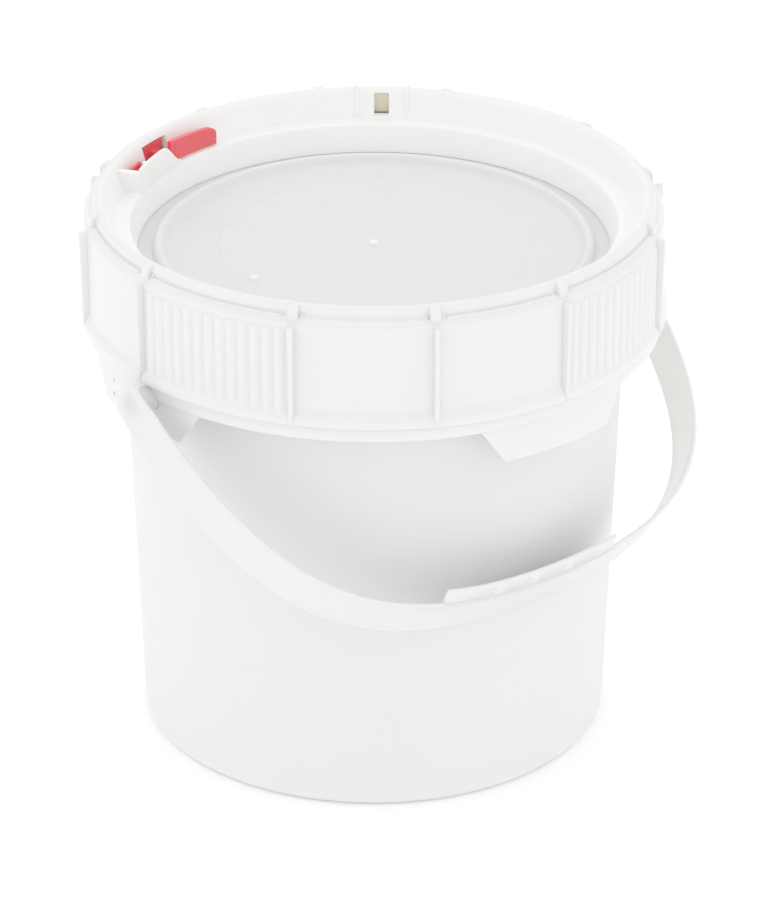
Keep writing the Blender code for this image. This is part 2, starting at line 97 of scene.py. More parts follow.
# Bail handle
PIVOT_HEIGHT = JOINTS["bail_swing"]["pos_m"][2] / MM
BAIL_TILT = math.radians(37.2)
BAIL_HALF_SPAN = 170.4
BAIL_REACH = 181.5
BAIL_HALF_WIDTH = 14.0
BAIL_THICKNESS = 2.4
BAIL_END_HALF_WIDTH = 12.6
BAIL_END_LENGTH = 9.0
BAIL_STRAIGHT = 25.0
GRIP_CENTRE = -17.5
GRIP_HALF_LENGTH = 58.5
EAR_FACE = BAIL_HALF_SPAN - BAIL_THICKNESS / 2.0 - 0.6
BORE_RADIUS = 4.4
BORE_DEPTH = 17.0

# Latch
TAB_ANGLE = 98.1
TAB_FOOT = 296.2
LEVER_TOP = 304.4
PAWL_ANGLE = 107.2
LATCH_PIVOT = Vector(JOINTS["latch_release"]["pos_m"]) / MM
LATCH_ANGLE = math.degrees(math.atan2(LATCH_PIVOT.y, LATCH_PIVOT.x))

# Camera
CAMERA_AZIMUTH = -40.5
CAMERA_ELEVATION = 26.46
CAMERA_DISTANCE = 2.733
CAMERA_TARGET = Vector((0.0, 0.0, 0.150))
CAMERA_LENS = 191.7
CAMERA_SHIFT_X = 10.0 / 916.0
CAMERA_SHIFT_Y = -2.1 / 916.0
VIEW_GAMMA = 1.25

# Materials
# Painted light: the ring's plastic glows faintly inside GLOW_RADIUS, with INNER_GLOW as the glow's strength
GLOW_RADIUS = 149.4
INNER_GLOW = 0.09
FLOOR_GLOW = 0.1

# Edges that turn by more than this many degrees are shaded sharp
SHARP_BOX = 30.0
SHARP_PLATE = 40.0
SHARP_TURNED = 50.0


# ---------------------------------------------------------------- shapes


def polar(radius, angle, height):
    turn = math.radians(angle)
    return Vector((radius * math.cos(turn), radius * math.sin(turn), height))


def turned_at(angle):
    return Matrix.Rotation(math.radians(angle), 4, "Z")


def filleted(points, closed=False, segments=5):
    """Round a profile's corners. A point is (radius, height) or (radius, height, fillet)."""
    result = []
    count = len(points)
    for i, point in enumerate(points):
        fillet = point[2] if len(point) > 2 else 0.0
        here = Vector(point[:2])
        if fillet <= 0.0 or (not closed and i in (0, count - 1)):
            result.append(here)
            continue
        before = Vector(points[i - 1][:2]) - here
        after = Vector(points[(i + 1) % count][:2]) - here
        reach = min(fillet, 0.48 * before.length, 0.48 * after.length)
        start = here + before.normalized() * reach
        end = here + after.normalized() * reach
        for step in range(segments + 1):
            t = step / segments
            result.append(start * (1 - t) ** 2 + here * 2 * t * (1 - t) + end * t**2)
    return result


def even_angles(step):
    count = int(round(360.0 / step))
    return [i * 360.0 / count for i in range(count)]


def revolve(bm, profile, angles, closed, offset=None):
    """Turn a profile about Z. offset(angle, radius, height) gives a change of radius."""
    rings = []
    for point in profile:
        if point.x < 0.001:
            rings.append([bm.verts.new((0.0, 0.0, point.y * MM))])
            continue
        ring = []
        for angle in angles:
            radius = point.x + (offset(angle, point.x, point.y) if offset else 0.0)
            ring.append(bm.verts.new(polar(radius * MM, angle, point.y * MM)))
        rings.append(ring)
    pairs = list(zip(rings, rings[1:]))
    if closed:
        pairs.append((rings[-1], rings[0]))
    count = len(angles)
    for low, high in pairs:
        for i in range(count):
            j = (i + 1) % count
            corners = [low[i % len(low)], low[j % len(low)], high[j % len(high)], high[i % len(high)]]
            unique = list(dict.fromkeys(corners))
            if len(unique) > 2:
                bm.faces.new(unique)


def finish_mesh(bm, name, material, sharp_angle=SHARP_PLATE):
    bmesh.ops.recalc_face_normals(bm, faces=bm.faces)
    mesh = bpy.data.meshes.new(name)
    bm.to_mesh(mesh)
    bm.free()
    mesh.shade_smooth()
    mesh.set_sharp_from_angle(angle=math.radians(sharp_angle))
    mesh.materials.append(material)
    item = bpy.data.objects.new(name, mesh)
    bpy.context.scene.collection.objects.link(item)
    return item


def rounded(item, width, segments=3):
    bevel = item.modifiers.new("round", "BEVEL")
    bevel.width = width * MM
    bevel.segments = segments
    bevel.limit_method = "ANGLE"
    bevel.angle_limit = math.radians(30.0)
    bevel.harden_normals = False
    return item


def add_box(bm, size, matrix):
    """Add a box of a size in millimetres and give back its corners."""
    placed = matrix.copy()
    placed.translation = matrix.translation * MM
    scale = Matrix.Diagonal((size[0] * MM, size[1] * MM, size[2] * MM, 1.0))
    return bmesh.ops.create_cube(bm, size=1.0, matrix=placed @ scale)["verts"]


def add_rod(bm, radius, length, matrix, sides=48):
    placed = matrix.copy()
    placed.translation = matrix.translation * MM
    bmesh.ops.create_cone(
        bm,
        cap_ends=True,
        segments=sides,
        radius1=radius * MM,
        radius2=radius * MM,
        depth=length * MM,
        matrix=placed,
    )


def place(radius, angle, height):
    return turned_at(angle) @ Matrix.Translation((radius, 0.0, height))


def join_skins(bm, inner, outer):
    """Face two grids of corners, given as rows, and close the plate between them."""
    rows = len(inner) - 1
    columns = len(inner[0]) - 1
    for row in range(rows):
        for column in range(columns):
            corners = ((row, column), (row, column + 1), (row + 1, column + 1), (row + 1, column))
            for grid in (inner, outer):
                bm.faces.new([grid[r][c] for r, c in corners])
    border = [(0, c) for c in range(columns)] + [(r, columns) for r in range(rows)]
    border += [(rows, c) for c in range(columns, 0, -1)] + [(r, 0) for r in range(rows, 0, -1)]
    for (r0, c0), (r1, c1) in zip(border, border[1:] + border[:1]):
        bm.faces.new((inner[r0][c0], inner[r1][c1], outer[r1][c1], outer[r0][c0]))


def curved_plate(bm, centre, half_angle, radius, thickness, top, bottom, columns=32, rows=6):
    """A plate on a cylinder; half_angle, top and bottom are functions of -1..1 across or up."""
    skins = []
    for side in (-0.5, 0.5):
        grid = []
        for row in range(rows + 1):
            up = row / rows
            line = []
            for column in range(columns + 1):
                across = 2.0 * column / columns - 1.0
                low, high = bottom(across), top(across)
                angle = centre + across * half_angle(up)
                point = polar(radius + side * thickness, angle, low + (high - low) * up)
                line.append(bm.verts.new(point * MM))
            grid.append(line)
        skins.append(grid)
    join_skins(bm, *skins)


def radial_plate(bm, outline, angle, width):
    """A flat plate of a (radius, height) outline, standing on a radius of the pail."""
    turn = turned_at(angle)
    sides = []
    for across in (-width / 2.0, width / 2.0):
        sides.append([bm.verts.new(turn @ Vector((r * MM, across * MM, z * MM))) for r, z in outline])
    first, second = sides
    bm.faces.new(first)
    bm.faces.new(list(reversed(second)))
    for i in range(len(outline)):
        j = (i + 1) % len(outline)
        bm.faces.new((first[i], second[i], second[j], first[j]))


def join_sections(bm, rows):
    """Face a row of closed sections and cap its two ends."""
    count = len(rows[0])
    for low, high in zip(rows, rows[1:]):
        for i in range(count):
            j = (i + 1) % count
            bm.faces.new((low[i], low[j], high[j], high[i]))
    bm.faces.new(rows[0])
    bm.faces.new(rows[-1])


def helical_rib(bm, inner, outer, start_angle, start_height, span):
    """A thread rib with a rounded crest and tapered ends."""
    steps = int(span / 1.5)
    section = ((0.0, -0.5), (0.7, -0.42), (1.0, -0.16), (1.0, 0.16), (0.7, 0.42), (0.0, 0.5))
    rows = []
    for step in range(steps + 1):
        t = step / steps
        fade = min(1.0, 10.0 * min(t, 1.0 - t) + 0.15)
        height = start_height + THREAD_LEAD * span * t / 360.0
        angle = start_angle + span * t
        corners = []
        for out, up in section:
            radius = inner + (outer - inner) * out * fade
            corners.append(bm.verts.new(polar(radius, angle, height + THREAD_WIDTH * up) * MM))
        rows.append(corners)
    join_sections(bm, rows)


def cut_out(item, bm, name):
    """Cut a closed mesh out of a piece, with the result applied to it."""
    bmesh.ops.recalc_face_normals(bm, faces=bm.faces)
    mesh = bpy.data.meshes.new(name)
    bm.to_mesh(mesh)
    bm.free()
    tool = bpy.data.objects.new(name, mesh)
    bpy.context.scene.collection.objects.link(tool)
    boolean = item.modifiers.new("cut", "BOOLEAN")
    boolean.operation = "DIFFERENCE"
    boolean.object = tool
    boolean.solver = "EXACT"
    evaluated = item.evaluated_get(bpy.context.evaluated_depsgraph_get())
    result = bpy.data.meshes.new_from_object(evaluated)
    item.modifiers.remove(boolean)
    item.data = result
    bpy.data.objects.remove(tool, do_unlink=True)
    result.set_sharp_from_angle(angle=math.radians(SHARP_PLATE))


# ---------------------------------------------------------------- materials


class Nodes:
    """A short way to write a material's node tree."""

    def __init__(self, name):
        self.material = bpy.data.materials.new(name)
        self.material.use_nodes = True
        self.tree = self.material.node_tree
        self.shader = self.tree.nodes["Principled BSDF"]
        self.place = self.tree.nodes.new("ShaderNodeTexCoord").outputs["Object"]

    def noise(self, scale, detail=3.0, stretch=None):
        node = self.tree.nodes.new("ShaderNodeTexNoise")
        node.inputs["Scale"].default_value = scale
        node.inputs["Detail"].default_value = detail
        source = self.place
        if stretch:
            mapping = self.tree.nodes.new("ShaderNodeMapping")
            mapping.inputs["Scale"].default_value = stretch
            self.tree.links.new(self.place, mapping.inputs["Vector"])
            source = mapping.outputs["Vector"]
        self.tree.links.new(source, node.inputs["Vector"])
        return node.outputs["Fac"]

    def spread(self, value, low, high):
        node = self.tree.nodes.new("ShaderNodeMapRange")
        node.inputs["From Min"].default_value = 0.3
        node.inputs["From Max"].default_value = 0.7
        node.inputs["To Min"].default_value = low
        node.inputs["To Max"].default_value = high
        self.tree.links.new(value, node.inputs["Value"])
        return node.outputs["Result"]

    def mix(self, value, first, second):
        node = self.tree.nodes.new("ShaderNodeMix")
        node.data_type = "RGBA"
        node.inputs["A"].default_value = (*first, 1.0)
        node.inputs["B"].default_value = (*second, 1.0)
        self.tree.links.new(value, node.inputs["Factor"])
        return node.outputs["Result"]

    def glow_within(self, radius, strength):
        """Painted light: a faint glow inside a radius of the pail's axis, standing in for light that comes
        through thin walls.
        """
        flat = self.tree.nodes.new("ShaderNodeMapping")
        flat.inputs["Scale"].default_value = (1.0, 1.0, 0.0)
        self.tree.links.new(self.place, flat.inputs["Vector"])
        distance = self.tree.nodes.new("ShaderNodeVectorMath")
        distance.operation = "LENGTH"
        self.tree.links.new(flat.outputs["Vector"], distance.inputs[0])
        fade = self.tree.nodes.new("ShaderNodeMapRange")
        fade.inputs["From Min"].default_value = (radius - 1.0) * MM
        fade.inputs["From Max"].default_value = (radius + 1.0) * MM
        fade.inputs["To Min"].default_value = strength
        fade.inputs["To Max"].default_value = 0.0
        self.tree.links.new(distance.outputs["Value"], fade.inputs["Value"])
        self.shader.inputs["Emission Color"].default_value = (1.0, 1.0, 0.99, 1.0)
        self.into(fade.outputs["Result"], "Emission Strength")

    def bump(self, value, strength, distance):
        node = self.tree.nodes.new("ShaderNodeBump")
        node.inputs["Strength"].default_value = strength
        node.inputs["Distance"].default_value = distance
        self.tree.links.new(value, node.inputs["Height"])
        return node.outputs["Normal"]

    def into(self, output, name):
        self.tree.links.new(output, self.shader.inputs[name])


def moulded_plastic(name, colour, shade, roughness, softness, depth=0.012, inner_glow=0.0):
    """Polyethylene: light that sinks in a little, a faint moulding ripple and slightly uneven gloss."""
    nodes = Nodes(name)
    cloud = nodes.spread(nodes.noise(14.0, 2.0), 0.0, 1.0)
    nodes.into(nodes.mix(cloud, colour, shade), "Base Color")
    gloss = nodes.spread(nodes.noise(55.0, 4.0), roughness - 0.02, roughness + 0.03)
    nodes.into(gloss, "Roughness")
    nodes.into(nodes.bump(nodes.noise(22.0, 1.0, (1.0, 1.0, 0.35)), 0.02, 0.0006), "Normal")
    nodes.shader.inputs["Subsurface Weight"].default_value = softness
    nodes.shader.inputs["Subsurface Radius"].default_value = (1.0, 0.92, 0.8)
    nodes.shader.inputs["Subsurface Scale"].default_value = depth
    nodes.shader.inputs["IOR"].default_value = 1.5
    # inner_glow paints light: a faint glow inside GLOW_RADIUS
    if inner_glow > 0.0:
        nodes.glow_within(GLOW_RADIUS, inner_glow)
    return nodes.material


def soft_rubber(name, colour, shade):
    nodes = Nodes(name)
    nodes.into(nodes.mix(nodes.spread(nodes.noise(40.0), 0.0, 1.0), colour, shade), "Base Color")
    nodes.into(nodes.spread(nodes.noise(120.0), 0.62, 0.78), "Roughness")
    nodes.into(nodes.bump(nodes.noise(1800.0), 0.2, 0.0001), "Normal")
    return nodes.material


def pale_floor(name):
    """A white table that glows a little, as a lit studio sweep does."""
    nodes = Nodes(name)
    cloud = nodes.spread(nodes.noise(3.0), 0.0, 1.0)
    nodes.into(nodes.mix(cloud, (0.975, 0.975, 0.975), (0.98, 0.98, 0.98)), "Base Color")
    nodes.into(nodes.spread(nodes.noise(30.0), 0.75, 0.85), "Roughness")
    nodes.shader.inputs["Emission Color"].default_value = (1.0, 1.0, 1.0, 1.0)
    nodes.shader.inputs["Emission Strength"].default_value = FLOOR_GLOW
    return nodes.material


# ---------------------------------------------------------------- pail


def pail_radius(height):
    return PAIL_BASE_RADIUS + PAIL_TAPER * height


def cut_bores(item, sides, name):
    """Carry the ears' bores through a piece that crosses them."""
    bm = bmesh.new()
    for side in sides:
        spot = Matrix.Translation((side * (EAR_FACE - BORE_DEPTH / 2.0), 0.0, PIVOT_HEIGHT))
        add_rod(bm, BORE_RADIUS, BORE_DEPTH, spot @ ALONG_X)
    cut_out(item, bm, name)


def make_pail_shell(material):
    wall = PAIL_WALL
    profile = [
        (0.0, 3.0),
        (pail_radius(0.0) - wall, 3.0, 6.0),
        (pail_radius(RIM_TOP) - wall, RIM_TOP, 1.0),
        (pail_radius(RIM_TOP) + 0.8, RIM_TOP, 1.0),
        (pail_radius(RIM_TOP) + 0.8, RIM_TOP - 3.6, 0.6),
        (pail_radius(RIM_TOP - 5.0), RIM_TOP - 4.6, 0.6),
        (pail_radius(COLLAR_TOP), COLLAR_TOP, 1.2),
        (COLLAR_RADIUS, COLLAR_TOP, 1.5),
        (COLLAR_RADIUS, COLLAR_BOTTOM, 1.3),
        (COLLAR_RADIUS - 3.3, COLLAR_BOTTOM, 0.5),
        (COLLAR_RADIUS - 3.4, COLLAR_TOP - 2.4, 0.8),
        (pail_radius(COLLAR_TOP), COLLAR_TOP - 2.4, 1.4),
        (pail_radius(0.0), 0.0, 5.0),
        (118.0, 0.0, 0.5),
        (117.0, 1.0, 0.5),
        (113.0, 1.0, 0.5),
        (112.0, 0.0, 0.5),
        (0.0, 0.0),
    ]
    bm = bmesh.new()
    revolve(bm, filleted(profile), even_angles(1.25), False)
    shell = finish_mesh(bm, "pail_shell", material)
    cut_bores(shell, (-1, 1), "shell_bores")
    return shell


def make_skirt(number, centre, material):
    """A clipped plate that hangs from the collar. The first has two holes, and two of them cross a bore."""

    def half_angle(up):
        return SKIRT_HALF_BOTTOM + (SKIRT_HALF_TOP - SKIRT_HALF_BOTTOM) * up

    top = COLLAR_BOTTOM + 3.0
    bm = bmesh.new()
    curved_plate(bm, centre, half_angle, SKIRT_RADIUS, 1.6, lambda a: top, lambda a: SKIRT_BOTTOM)
    skirt = finish_mesh(bm, f"collar_skirt_{number}", material)
    if number == 0:
        bm = bmesh.new()
        for height in SKIRT_HOLE_HEIGHTS:
            add_rod(bm, 1.3, 6.0, place(SKIRT_RADIUS, SKIRT_HOLE_ANGLE, height) @ ALONG_X, 20)
        cut_out(skirt, bm, "skirt_holes")
        cut_bores(skirt, (-1,), "left_bore")
    if number == 2:
        cut_bores(skirt, (1,), "right_bore")
    return rounded(skirt, 0.4)


def make_threads(material):
    bm = bmesh.new()
    for start in range(4):
        helical_rib(bm, 138.5, 147.0, start * 90.0, PAIL_THREAD_START, PAIL_THREAD_SPAN)
    return finish_mesh(bm, "pail_thread", material, SHARP_TURNED)


def make_teeth(material):
    bm = bmesh.new()
    root = pail_radius(RIM_TOP) - 1.2
    tip = 145.6
    for step in range(7):
        angle = LATCH_ANGLE - 18.0 + 3.0 * step
        spot = place((root + tip) / 2.0, angle, 277.0)
        ahead = spot.to_3x3() @ Vector((0.0, 1.0, 0.0))
        for corner in add_box(bm, (tip - root, 4.0, 4.6), spot):
            offset = corner.co - spot.translation * MM
            if corner.co.xy.length > (root + tip) / 2.0 * MM and offset.dot(ahead) > 0.0:
                corner.co -= ahead * 3.0 * MM
    return rounded(finish_mesh(bm, "ratchet_teeth", material, SHARP_BOX), 0.3, 2)


def make_ears(material):
    """Hollow bosses for the handle's pins, each turned from a profile about X."""
    inner = pail_radius(PIVOT_HEIGHT) - 1.2
    bore_end = EAR_FACE - BORE_DEPTH
    bore = [(0.0, bore_end), (BORE_RADIUS, bore_end), (BORE_RADIUS, EAR_FACE, 0.5)]
    profile = bore + [(7.0, EAR_FACE, 0.8), (7.0, inner, 0.0), (0.0, inner)]
    made = []
    for side, label in ((-1, "left"), (1, "right")):
        bm = bmesh.new()
        revolve(bm, filleted(profile), even_angles(7.5), False)
        raised = Matrix.Translation((0.0, 0.0, PIVOT_HEIGHT * MM))
        across = Matrix.Rotation(side * math.pi / 2.0, 4, "Y")
        bmesh.ops.transform(bm, matrix=raised @ across, verts=bm.verts)
        made.append(finish_mesh(bm, f"handle_ear_{label}", material))
    return made


# ---------------------------------------------------------------- ring


def fin_angles():
    angles = []
    for quarter in range(4):
        start = KNURL_START + 90.0 * quarter
        halfway = KNURL_SPAN + (90.0 - KNURL_SPAN) / 2.0
        angles += [start, start + KNURL_SPAN, start + halfway]
    return angles


def knurl_offset(angle, radius, height):
    """Rounded ridges in each knurled zone of the outer panel, down to the band's slope."""
    if radius < PANEL_RADIUS - 0.01 or not 250.0 < height < PANEL_TOP:
        return 0.0
    along = (angle - KNURL_START) % 90.0
    if along > KNURL_SPAN:
        return 0.0
    place_in_zone = (along - KNURL_SPAN / 2.0) / KNURL_PITCH
    half = KNURL_RIDGES / 2.0
    if abs(place_in_zone) > half:
        return 0.0
    crest = abs(math.cos(math.pi * place_in_zone))
    fade = max(0.0, min(1.0, (KNURL_TOP - height) / 1.2))
    return max(0.0, PANEL_RADIUS + KNURL_HEIGHT * fade * crest - radius)


def ring_angles():
    """Fine steps across the knurled zones and wider steps between them."""
    angles = []
    for quarter in range(4):
        start = KNURL_START + 90.0 * quarter
        angles += [start + i * 0.25 for i in range(int(KNURL_SPAN / 0.25))]
        rest = 90.0 - KNURL_SPAN
        angles += [start + KNURL_SPAN + i * rest / 44 for i in range(44)]
    return angles


def panel_steps():
    """Points down the outer panel and the band's slope, close together where the ridges end."""
    heights = [300.4, KNURL_TOP, 299.0, 298.4, 296.0, 290.0, 277.0, 264.0, 256.0, 253.0]
    slope = [(159.1, 252.2), (159.6, 251.4), (160.1, 250.55)]
    return [(PANEL_RADIUS, height) for height in heights] + slope


def make_ring_shell(material):
    profile = [
        (147.4, 308.4, 0.8),
        (148.8, 310.9, 1.2),
        (150.4, 311.4, 1.0),
        (152.4, 311.1, 1.2),
        (153.8, 309.4, 1.2),
        (153.9, 305.6, 0.7),
        (156.4, 304.6, 0.6),
        (156.8, 303.2, 0.5),
        (PANEL_RADIUS, PANEL_TOP, 0.5),
    ]
    profile += panel_steps()
    profile += [
        (161.4, 248.4, 1.2),
        (161.4, RING_BOTTOM, 1.0),
        (155.2, RING_BOTTOM, 0.6),
        (155.2, 299.4, 1.0),
        (152.2, 303.6, 0.6),
        (149.6, 303.6, 0.6),
        (146.2, 292.6, 0.8),
        (136.0, 292.6, 0.8),
        (131.9, 279.76, 0.4),
        (129.6, 279.76, 0.15),
        (133.5, 294.8, 0.6),
        (134.4, CHANNEL_FLOOR, 0.5),
        (143.0, CHANNEL_FLOOR, 0.8),
    ]
    bm = bmesh.new()
    revolve(bm, filleted(profile, closed=True, segments=4), ring_angles(), True, knurl_offset)
    ring = finish_mesh(bm, "ring_shell", material, 45.0)
    bm = bmesh.new()
    width = 2.0 * 146.2 * math.tan(math.radians(4.4))
    add_box(bm, (10.4, width, 11.2), place(146.2, LATCH_WINDOW_ANGLE, 302.0))
    cut_out(ring, bm, "latch_window")
    bm = bmesh.new()
    width = 2.0 * 145.8 * math.tan(math.radians(1.65))
    add_box(bm, (9.6, width, 12.4), place(145.8, SLOT_ANGLE, 302.7))
    cut_out(ring, bm, "key_window")
    return ring


def make_fins(material):
    """Each fin narrows slightly towards its tip and leans in at its foot."""
    bm = bmesh.new()
    root = PANEL_RADIUS - 1.2
    low = RING_BOTTOM + 0.6
    high = PANEL_TOP + 0.2
    for angle in fin_angles():
        spot = place((FIN_RADIUS + root) / 2.0, angle, (high + low) / 2.0)
        middle = Vector(spot.translation) * MM
        sideways = spot.to_3x3() @ Vector((0.0, 1.0, 0.0))
        for corner in add_box(bm, (FIN_RADIUS - root, 3.2, high - low), spot):
            if corner.co.xy.length < middle.xy.length:
                continue
            corner.co -= sideways * (corner.co - middle).dot(sideways) * 0.25
            if corner.co.z < middle.z:
                corner.co.xy *= (FIN_RADIUS - 1.2) / FIN_RADIUS
    return rounded(finish_mesh(bm, "ring_fins", material, SHARP_BOX), 0.6)


def make_lip_blocks(material):
    """A small block across the step at each fin, up to the lip's top, with a thin nub beside it."""
    bm = bmesh.new()
    outline = [(151.9, 300.2), (157.0, 300.2), (157.0, 308.4), (155.4, 311.0), (151.9, 311.2)]
    nub = [(152.6, 302.0), (156.4, 302.0), (156.2, 305.6), (154.2, 307.4), (152.6, 307.4)]
    for number, angle in enumerate(fin_angles()):
        radial_plate(bm, outline, angle, 5.6)
        side = -1.0 if number % 3 == 2 else 1.0
        radial_plate(bm, nub, angle + side * 1.8, 1.2)
    return rounded(finish_mesh(bm, "ring_lip_blocks", material, SHARP_BOX), 0.4, 2)


def make_shoulder_beads(material):
    """A bead on the shoulder, above each knurled zone and above the plain zone before it."""
    bm = bmesh.new()
    zones = ((0.0, KNURL_SPAN), (KNURL_SPAN + (90.0 - KNURL_SPAN) / 2.0, 90.0))
    for quarter in range(4):
        for start, end in zones:
            centre = KNURL_START + 90.0 * quarter + (start + end) / 2.0
            half = (end - start) / 2.0 - 2.2
            shape = (lambda up: half, 155.0, 2.4, lambda a: 305.9, lambda a: 303.6)
            curved_plate(bm, centre, *shape, 48, 2)
    return rounded(finish_mesh(bm, "ring_shoulder_beads", material, SHARP_BOX), 0.5, 3)


def make_slot_ribs(material):
    """The two ribs beside the key window: up the lip's inner wall, over its crest and down."""
    bm = bmesh.new()
    outline = [(142.4, 295.2), (143.4, 294.6), (147.8, 305.0), (153.0, 305.0), (154.6, 305.4)]
    outline += [(154.6, 309.6), (153.0, 311.9), (149.0, 312.0), (147.0, 309.4)]
    for angle in (SLOT_ANGLE - 5.6, SLOT_ANGLE + 5.5):
        radial_plate(bm, outline, angle, 2.2)
    return rounded(finish_mesh(bm, "ring_slot_ribs", material, SHARP_BOX), 0.4, 2)


def make_slot_shade_sheet(material):
    """A sheet in the hollow behind the key window, coloured warm to paint the shaded hollow seen through
    it.
    """
    bm = bmesh.new()
    curved_plate(bm, SLOT_ANGLE, lambda up: 1.62, 149.7, 0.6, lambda a: 308.8, lambda a: 296.6, 8, 2)
    return finish_mesh(bm, "ring_slot_shade_sheet", material)


def make_ring_threads(material):
    bm = bmesh.new()
    for start in range(4):
        helical_rib(bm, 156.2, 141.8, start * 90.0 + 10.0, RING_THREAD_START, RING_THREAD_SPAN)
    return finish_mesh(bm, "ring_thread", material, SHARP_TURNED)


def make_latch_pocket(material):
    """The pocket's end block, its shield and the pin that the latch turns on."""
    bm = bmesh.new()
    outline = [(133.9, 294.7), (144.6, 294.7), (147.3, 307.2), (133.9, 307.2)]
    radial_plate(bm, outline, LATCH_ANGLE + 8.0, 4.4)
    block = rounded(finish_mesh(bm, "pocket_block", material, SHARP_BOX), 0.6)

    def top(across):
        rise = min(1.5 * (across + 1.0), 1.0)
        return CHANNEL_FLOOR + 1.9 + 11.8 * rise * rise * (3.0 - 2.0 * rise)

    bm = bmesh.new()
    foot = CHANNEL_FLOOR - 6.0
    curved_plate(bm, LATCH_ANGLE - 2.1, lambda up: 10.3, 134.0, 1.6, top, lambda a: foot, 48, 8)
    shield = rounded(finish_mesh(bm, "pocket_shield", material, SHARP_PLATE), 0.4, 2)
    bm = bmesh.new()
    add_rod(bm, 1.6, 10.6, Matrix.Translation(LATCH_PIVOT + Vector((0.0, 0.0, -0.3))))
    pin = rounded(finish_mesh(bm, "pocket_pin", material, SHARP_BOX), 0.3, 2)
    return [block, shield, pin]


# ---------------------------------------------------------------- lid


def disc_profile():
    """The recessed floor with its faint concentric steps, then bead, upstand and flange."""
    floor = [(0.0, DISC_FLOOR)]
    for radius in DISC_STEP_RADII:
        crest = (radius, DISC_FLOOR + DISC_STEP, 0.8)
        floor += [(radius - 1.6, DISC_FLOOR, 0.5), crest, (radius + 1.6, DISC_FLOOR, 0.5)]
    rim = [
        (112.8, DISC_FLOOR, 1.2),
        (114.6, 281.4, 0.8),
        (116.6, 283.9, 1.3),
        (119.2, 284.0, 1.3),
        (120.9, 282.0, 0.8),
        (121.6, 279.6, 0.6),
        (132.6, 279.4, 0.8),
        (133.6, 280.6, 0.8),
        (136.9, 290.8, 0.6),
        (137.6, 292.0, 0.6),
        (143.6, 292.0, 0.5),
        (143.6, 290.2, 0.5),
        (137.9, 290.2, 0.6),
        (136.4, 286.0, 0.8),
        (134.8, 277.2, 0.8),
        (119.8, 277.6, 0.6),
        (118.6, 281.6, 0.5),
        (117.2, 281.6, 0.5),
        (114.4, 277.9, 0.8),
        (0.0, 277.9),
    ]
    return floor + rim


def make_disc(material):
    bm = bmesh.new()
    revolve(bm, filleted(disc_profile()), even_angles(1.25), False)
    return finish_mesh(bm, "disc_panel", material, SHARP_TURNED)


def make_disc_nubs(material):
    """Two moulding gates: a small raised dot in the middle and one off to a side."""
    bm = bmesh.new()
    profile = filleted([(0.0, 0.0), (2.6, 0.0, 0.2), (2.1, 2.0, 0.9), (0.0, 2.2)])
    foot = DISC_FLOOR - 0.1
    for spot in (Vector((0.0, 0.0, foot)), polar(80.0, -184.5, foot)):
        single = bmesh.new()
        revolve(single, profile, even_angles(15.0), False)
        bmesh.ops.translate(single, verts=single.verts, vec=spot * MM)
        mesh = bpy.data.meshes.new("nub")
        single.to_mesh(mesh)
        single.free()
        bm.from_mesh(mesh)
        bpy.data.meshes.remove(mesh)
    return finish_mesh(bm, "disc_nubs", material, SHARP_TURNED)


def make_gasket(material):
    profile = [(138.3, 289.9, 0.4), (142.6, 289.9, 0.4), (142.6, 288.2, 0.3)]
    profile += [(140.6, 287.8, 0.4), (138.3, 287.8, 0.4)]
    bm = bmesh.new()
    revolve(bm, filleted(profile, closed=True, segments=3), even_angles(2.0), True)
    return finish_mesh(bm, "gasket_ring", material, SHARP_TURNED)


# ---------------------------------------------------------------- latch


def latch_box(name, size, spot, material, width):
    bm = bmesh.new()
    add_box(bm, size, spot)
    return rounded(finish_mesh(bm, name, material, SHARP_BOX), width)


def make_tab(material):
    """The finger tab, with one rounded upper corner."""

    def top(across):
        corner = max(0.0, -across - 0.62) / 0.38
        return 307.8 + 1.0 * across - 4.0 * (1.0 - math.sqrt(max(1.0 - corner * corner, 0.0)))

    bm = bmesh.new()
    curved_plate(bm, TAB_ANGLE, lambda up: 7.8, 137.6, 3.0, top, lambda a: TAB_FOOT, 40, 8)
    return rounded(finish_mesh(bm, "latch_tab", material, SHARP_PLATE), 0.6)


def make_tab_face(material):
    """The thin raised field on the tab's inner face."""
    bm = bmesh.new()
    sides = (lambda a: 305.8 + 0.7 * a, lambda a: TAB_FOOT + 1.5)
    curved_plate(bm, TAB_ANGLE + 0.8, lambda up: 5.8, 135.95, 0.35, *sides, 28, 2)
    return rounded(finish_mesh(bm, "latch_tab_face", material, SHARP_PLATE), 0.15, 2)


def make_lever(material):
    bm = bmesh.new()
    sides = (lambda a: LEVER_TOP - 1.0, lambda a: TAB_FOOT + 0.4)
    curved_plate(bm, 109.6, lambda up: 5.4, 138.6, 2.4, *sides, 20, 4)
    return rounded(finish_mesh(bm, "latch_lever", material, SHARP_PLATE), 0.5)


def make_hub(material):
    """The sleeve that turns on the pocket's pin."""
    low, high = TAB_FOOT, LEVER_TOP - 0.5
    profile = [(1.95, low), (3.5, low, 0.5), (3.5, high, 0.6), (1.95, high)]
    bm = bmesh.new()
    revolve(bm, filleted(profile, segments=3), even_angles(10.0), True)
    bmesh.ops.translate(bm, verts=bm.verts, vec=(LATCH_PIVOT.x * MM, LATCH_PIVOT.y * MM, 0.0))
    return finish_mesh(bm, "latch_hub", material, SHARP_TURNED)


def make_pawl(material):
    """The pawl leans in towards the ratchet teeth at its foot."""
    radius = 149.4
    bm = bmesh.new()
    for corner in add_box(bm, (2.4, 4.6, 28.0), place(radius, PAWL_ANGLE, 288.6)):
        if corner.co.z < 288.0 * MM:
            corner.co.xy *= 147.6 / radius
    return rounded(finish_mesh(bm, "latch_pawl", material, SHARP_BOX), 0.4)


